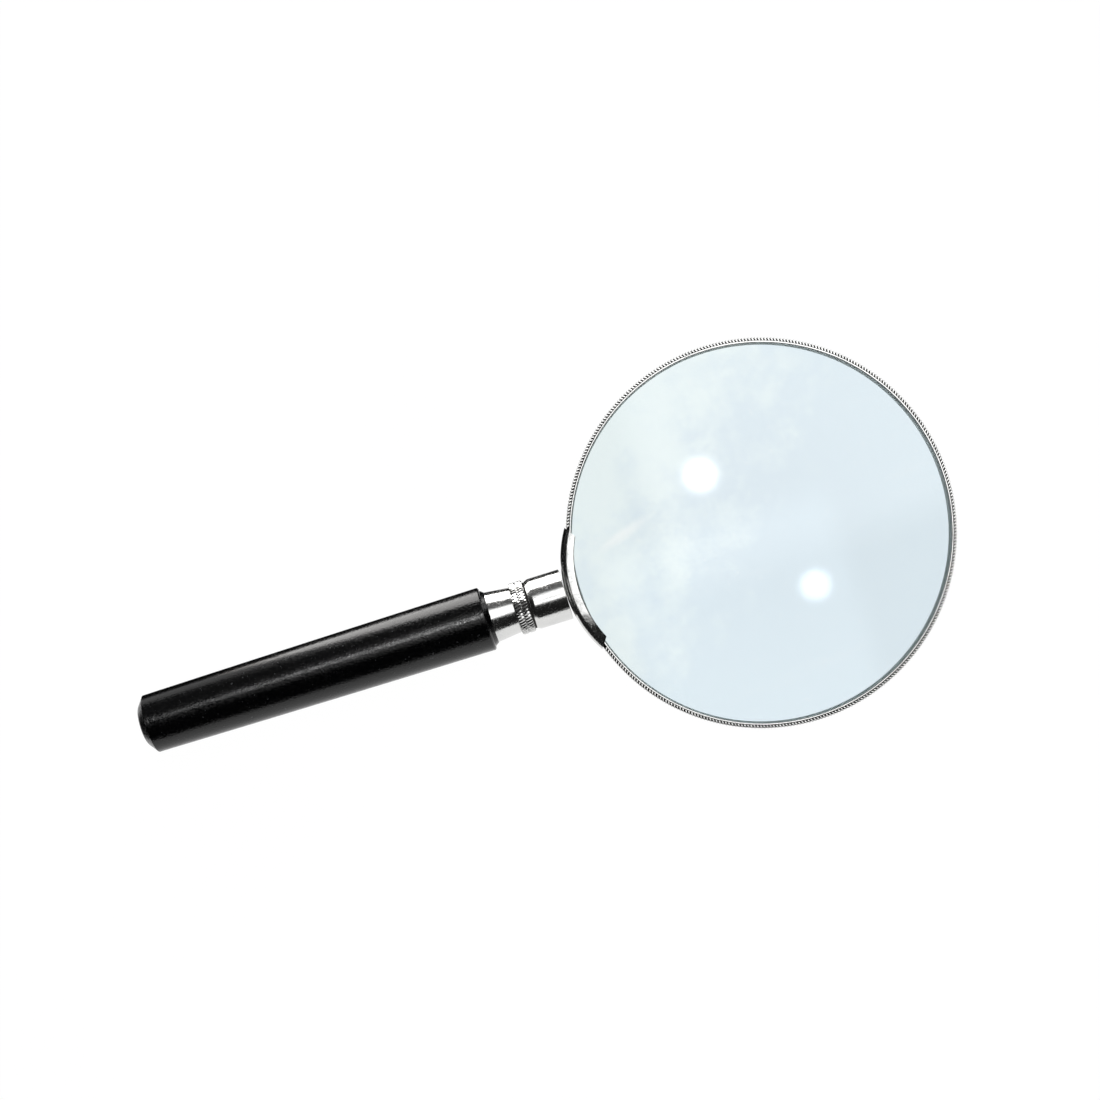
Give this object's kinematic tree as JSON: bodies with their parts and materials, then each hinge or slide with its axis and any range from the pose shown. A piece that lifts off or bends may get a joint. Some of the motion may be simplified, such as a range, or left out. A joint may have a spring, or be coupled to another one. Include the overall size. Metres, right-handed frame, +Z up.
{
  "type": "magnifying glass",
  "caption": "Hand magnifying glass: round biconvex lens in a knurled metal rim, with a black handle that screws onto a metal neck.",
  "frame": {"origin": "on the plane the object lies on, halfway along its length and width", "axes": "+X along the handle towards the lens, +Z up along the lens's optical axis"},
  "size_m": [0.1682, 0.0778, 0.013],
  "materials": {
    "lens_glass": "polished crown glass, ground edge",
    "chrome": "bright chrome plate",
    "brass": "turned",
    "steel": "turned and threaded",
    "black_fibre": "pressed fibre",
    "black_plastic": "moulded, satin gloss"
  },
  "bodies": {
    "head": {"lens": "lens_glass", "rim": "chrome", "yoke": "chrome", "neck_socket": "chrome", "neck_plug": "brass", "stud": "steel", "tab_pin": "steel"},
    "washer": {"thrust_washer": "black_fibre"},
    "grip": {"knurled_ring": "chrome", "ferrule": "chrome", "threaded_insert": "brass", "handle": "black_plastic"}
  },
  "joints": [
    {"name": "handle_travel", "type": "slide", "parent": "head", "child": "washer", "axis": [-1, 0, 0], "range_m": [0, 0.0096]},
    {"name": "handle_unscrew", "type": "hinge", "parent": "washer", "child": "grip", "pos_m": [0, 0, 0.00648], "axis": [-1, 0, 0], "range_deg": [0, 4320]}
  ],
  "couplings": [
    {"joint": "handle_travel", "follows": "handle_unscrew", "m_per_rad": 0.00012732}
  ]
}
